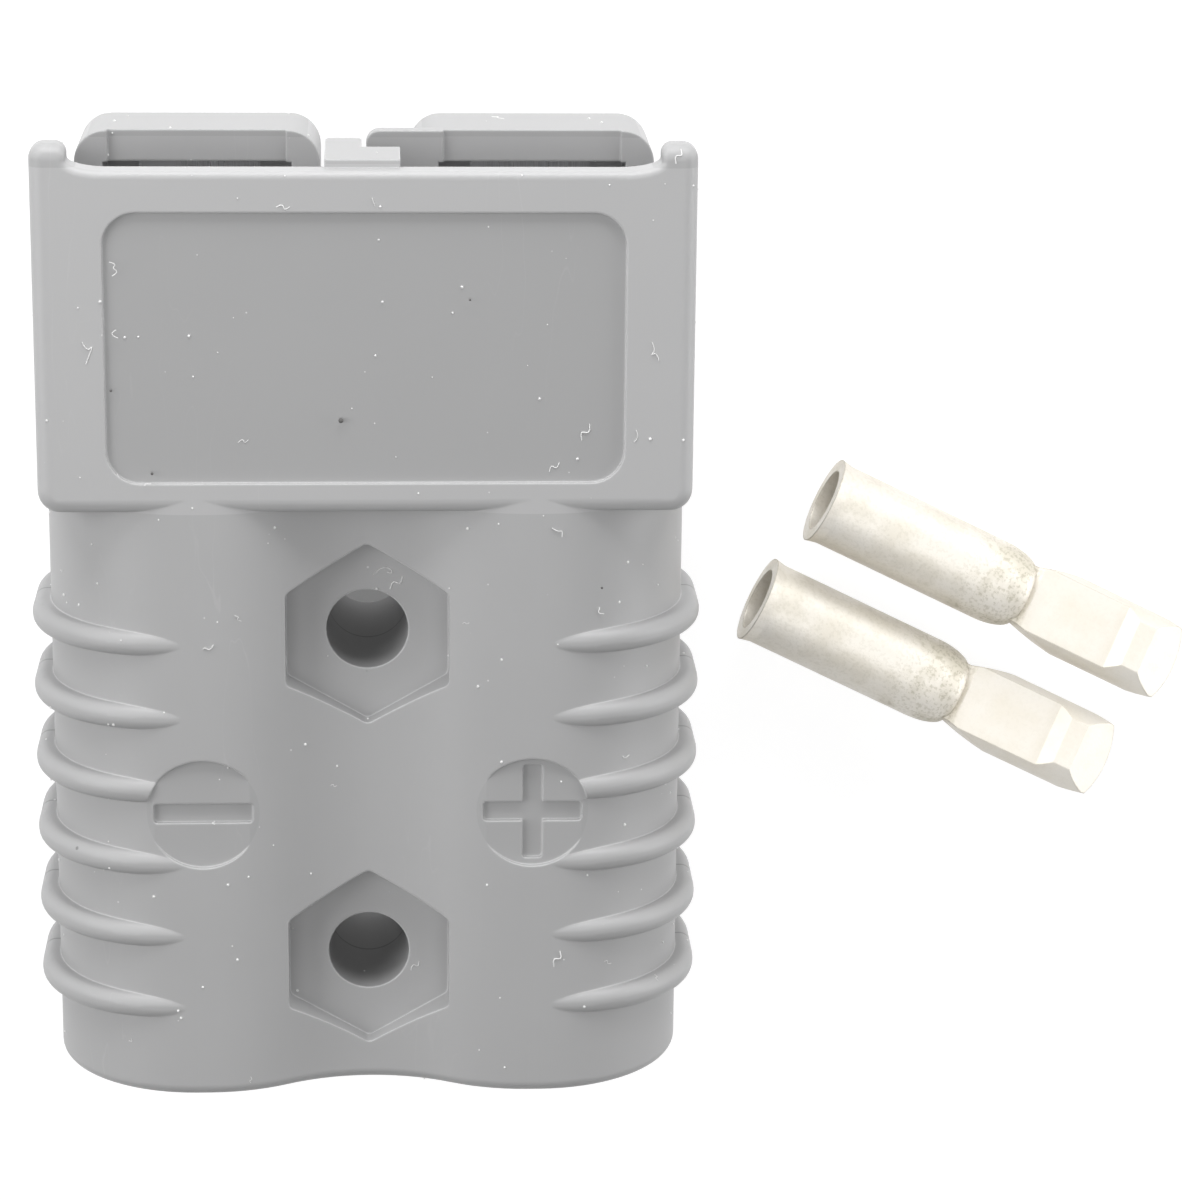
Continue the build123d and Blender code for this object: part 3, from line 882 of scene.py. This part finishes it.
def table_material():
    """White table, darkened a little by a shadow, whose glow paints a shadow under the housing for the
    camera and paints light into the housing's holes from below.
    """
    material = bpy.data.materials.new("white_table")
    material.use_nodes = True
    tree = material.node_tree
    tree.nodes.remove(tree.nodes["Principled BSDF"])
    output = tree.nodes["Material Output"]
    glow = tree.nodes.new("ShaderNodeEmission")
    glow.inputs["Color"].default_value = (1.0, 1.0, 1.0, 1.0)
    seen = seen_directly(tree)
    place = tree.nodes.new("ShaderNodeTexCoord").outputs["Object"]
    footprint = tree.nodes.new("ShaderNodeSeparateXYZ")
    tree.links.new(place, footprint.inputs[0])
    beside = add_ramp(tree, add_math(tree, "ABSOLUTE", footprint.outputs["X"]), *FOOTPRINT_X)
    beyond = add_ramp(tree, add_math(tree, "ABSOLUTE", footprint.outputs["Y"]), *FOOTPRINT_Y)
    clear = add_math(tree, "MAXIMUM", beside, beyond)
    around = add_math(tree, "MULTIPLY", add_share(tree, seen, TABLE_GLOW), clear)
    # Painted shadow and painted light: under the housing the glow is dim to look at and lights the holes
    # from below
    dim = add_math(tree, "MULTIPLY_ADD", seen, UNDER_PAINTED_SHADOW - HOLE_PAINTED_LIGHT, HOLE_PAINTED_LIGHT)
    under = add_math(tree, "MULTIPLY", add_math(tree, "SUBTRACT", 1.0, clear), dim)
    tree.links.new(add_math(tree, "ADD", around, under), glow.inputs["Strength"])
    matt = tree.nodes.new("ShaderNodeBsdfDiffuse")
    tree.links.new(add_mix(tree, seen, TABLE_LIT, TABLE_SEEN), matt.inputs["Color"])
    both = tree.nodes.new("ShaderNodeAddShader")
    tree.links.new(glow.outputs[0], both.inputs[0])
    tree.links.new(matt.outputs[0], both.inputs[1])
    tree.links.new(both.outputs[0], output.inputs["Surface"])
    return material


class SetStage(bpy.types.Operator):
    """Lay out the white table, the lights and the camera"""

    bl_idname = "connector.set_stage"
    bl_label = "Set the stage"

    def execute(self, context):
        scene = context.scene
        setup = scene.stage_setup
        mesh = bpy.data.meshes.new("table")
        signs = ((-1, -1), (1, -1), (1, 1), (-1, 1))
        corners = [(x * TABLE_REACH, y * TABLE_REACH, TABLE_Z) for x, y in signs]
        mesh.from_pydata(corners, [], [(0, 1, 2, 3)])
        mesh.materials.append(table_material())
        table = bpy.data.objects.new("table", mesh)
        scene.collection.objects.link(table)

        white_world(setup.ambient)
        for name, power, size, place, target in LAMPS:
            add_light(name, getattr(setup, power), size, place, target)

        data = bpy.data.cameras.new("camera")
        data.lens = setup.lens
        data.sensor_width = SENSOR_WIDTH
        data.clip_start = 0.01
        camera = bpy.data.objects.new("camera", data)
        camera.location = CAMERA_PLACE
        camera.rotation_euler = CAMERA_TURN
        scene.collection.objects.link(camera)
        scene.camera = camera
        scene.view_settings.view_transform = "Standard"
        return {"FINISHED"}


class ConnectorPanel(bpy.types.Panel):
    """Sidebar panel with the connector's pieces"""

    bl_idname = "CONNECTOR_PT_pieces"
    bl_label = "Power connector"
    bl_space_type = "VIEW_3D"
    bl_region_type = "UI"
    bl_category = "Connector"

    def draw(self, context):
        scene = context.scene
        for finish, names in (
            (scene.housing_finish, ("grey", "panel_shade", "collar_painted_light", "grain", "edge_radius")),
            (scene.plating_finish, ("silver", "tarnish", "turn")),
            (scene.lint_finish, ("seed", "fibres_per_area", "specks_per_area", "fibre_length",
                                 "fibre_width", "speck_size")),
            (scene.stage_setup, ("key_power", "fill_power", "left_power", "right_power", "ambient", "lens")),
        ):
            box = self.layout.box()
            for name in names:
                box.prop(finish, name)
        for operator in OPERATORS:
            self.layout.operator(operator.bl_idname)


SETTINGS = (
    ("housing_finish", HousingFinish),
    ("plating_finish", PlatingFinish),
    ("lint_finish", LintFinish),
    ("stage_setup", StageSetup),
)
OPERATORS = (DressHousing, DressContacts, DressSprings, StrewLint, SetStage)


def register():
    for name, group in SETTINGS:
        bpy.utils.register_class(group)
        setattr(bpy.types.Scene, name, PointerProperty(type=group))
    for operator in OPERATORS:
        bpy.utils.register_class(operator)
    bpy.utils.register_class(ConnectorPanel)


def unregister():
    bpy.utils.unregister_class(ConnectorPanel)
    for operator in reversed(OPERATORS):
        bpy.utils.unregister_class(operator)
    for name, group in reversed(SETTINGS):
        delattr(bpy.types.Scene, name)
        bpy.utils.unregister_class(group)


def main():
    register()
    bpy.ops.connector.dress_housing()
    bpy.ops.connector.dress_contacts()
    bpy.ops.connector.dress_springs()
    bpy.ops.connector.strew_lint()
    bpy.ops.connector.set_stage()


if __name__ == "__main__":
    main()
